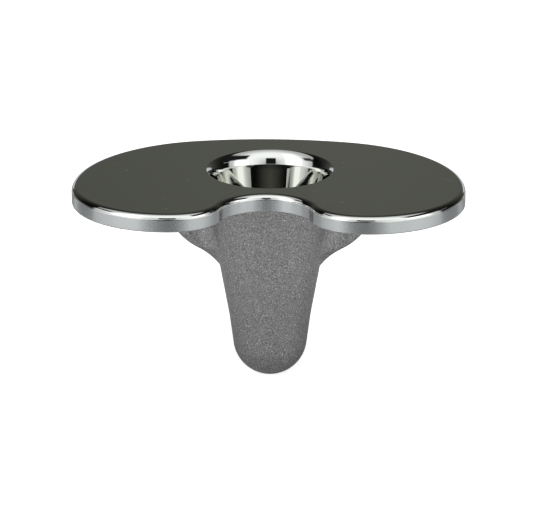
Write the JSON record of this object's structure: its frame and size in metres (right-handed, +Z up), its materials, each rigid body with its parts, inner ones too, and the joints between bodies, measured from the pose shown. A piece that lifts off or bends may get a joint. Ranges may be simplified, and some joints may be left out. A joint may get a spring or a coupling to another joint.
{
  "type": "tibial baseplate",
  "caption": "Kidney-shaped tibial baseplate of a knee prosthesis: polished face with a tapered socket, ground rim, and a blasted conical stem with side wings.",
  "frame": {"origin": "on the stem axis, in the underside of the plate, which is the plane the bone is cut to", "axes": "+Z up, out of the socket and square to the plate; +X to the right along the plate's width, seen from the notched back; -Y towards the notch at the back of the knee"},
  "size_m": [0.071, 0.0462, 0.0403],
  "materials": {
    "cobalt_chrome": "cast cobalt-chrome: mirror-polished top face and socket, ground rim, grit-blasted underside, wings and stem"
  },
  "bodies": {
    "root": {"tibial_baseplate": "cobalt_chrome"}
  },
  "joints": []
}
